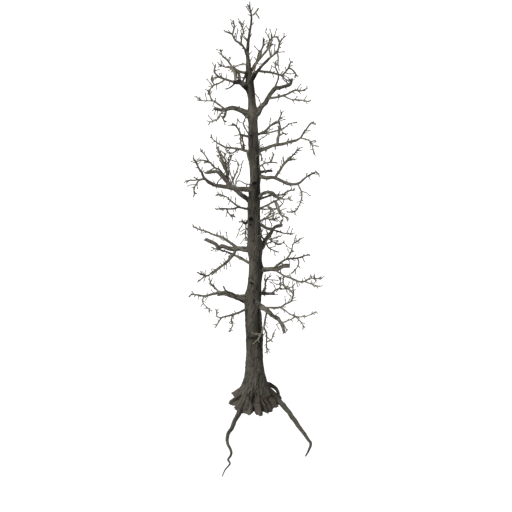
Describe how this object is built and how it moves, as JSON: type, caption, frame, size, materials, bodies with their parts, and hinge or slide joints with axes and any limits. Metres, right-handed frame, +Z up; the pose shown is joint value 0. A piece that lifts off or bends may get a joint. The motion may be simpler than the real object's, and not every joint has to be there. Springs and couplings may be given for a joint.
{
  "type": "dead tree",
  "caption": "Bare dead conifer with a tapering fissured trunk, lobed root flare, surface roots, broken boughs and fine leafless twigs, cut flat at ground level.",
  "frame": {"origin": "middle of the flat cut under the trunk, at ground level", "axes": "+Z up along the trunk; +X to the right and +Y away in the front view"},
  "size_m": [4.5043, 6.056, 14],
  "materials": {
    "trunk_bark": "rough fissured weathered bark",
    "bough_bark": "rough weathered bark",
    "root_bark": "rough weathered bark",
    "twig_bark": "dull weathered bark"
  },
  "bodies": {
    "root": {"bough_front_44": "bough_bark", "bough_left_106": "bough_bark", "bough_left_114": "bough_bark", "bough_left_38": "bough_bark", "bough_left_44": "bough_bark", "bough_left_62": "bough_bark", "bough_left_78": "bough_bark", "bough_left_82": "bough_bark", "bough_right_106": "bough_bark", "bough_right_116": "bough_bark", "bough_right_54": "bough_bark", "bough_right_60": "bough_bark", "bough_right_79": "bough_bark", "bough_right_87": "bough_bark", "bough_right_88": "bough_bark", "bough_right_95": "bough_bark", "root_arch": "root_bark", "root_left": "root_bark", "root_right": "root_bark", "trunk": "trunk_bark", "twigs_back_52": "twig_bark", "twigs_back_90": "twig_bark", "twigs_front_44": "twig_bark", "twigs_front_44_hang": "twig_bark", "twigs_front_44_right": "twig_bark", "twigs_left_100": "twig_bark", "twigs_left_106": "twig_bark", "twigs_left_114": "twig_bark", "twigs_left_114_up": "twig_bark", "twigs_left_39": "twig_bark", "twigs_left_44": "twig_bark", "twigs_left_55": "twig_bark", "twigs_left_62_down": "twig_bark", "twigs_left_62_up": "twig_bark", "twigs_left_70": "twig_bark", "twigs_left_75": "twig_bark", "twigs_left_78_out": "twig_bark", "twigs_left_78_up": "twig_bark", "twigs_left_82": "twig_bark", "twigs_left_95": "twig_bark", "twigs_right_100": "twig_bark", "twigs_right_106": "twig_bark", "twigs_right_116": "twig_bark", "twigs_right_116_low": "twig_bark", "twigs_right_119": "twig_bark", "twigs_right_44": "twig_bark", "twigs_right_54_low": "twig_bark", "twigs_right_54_up": "twig_bark", "twigs_right_60": "twig_bark", "twigs_right_70": "twig_bark", "twigs_right_71": "twig_bark", "twigs_right_75": "twig_bark", "twigs_right_78": "twig_bark", "twigs_right_87": "twig_bark", "twigs_right_87_up": "twig_bark", "twigs_right_89": "twig_bark", "twigs_right_95": "twig_bark", "twigs_right_95_up": "twig_bark", "twigs_top": "twig_bark", "twigs_top_left": "twig_bark"}
  },
  "joints": []
}
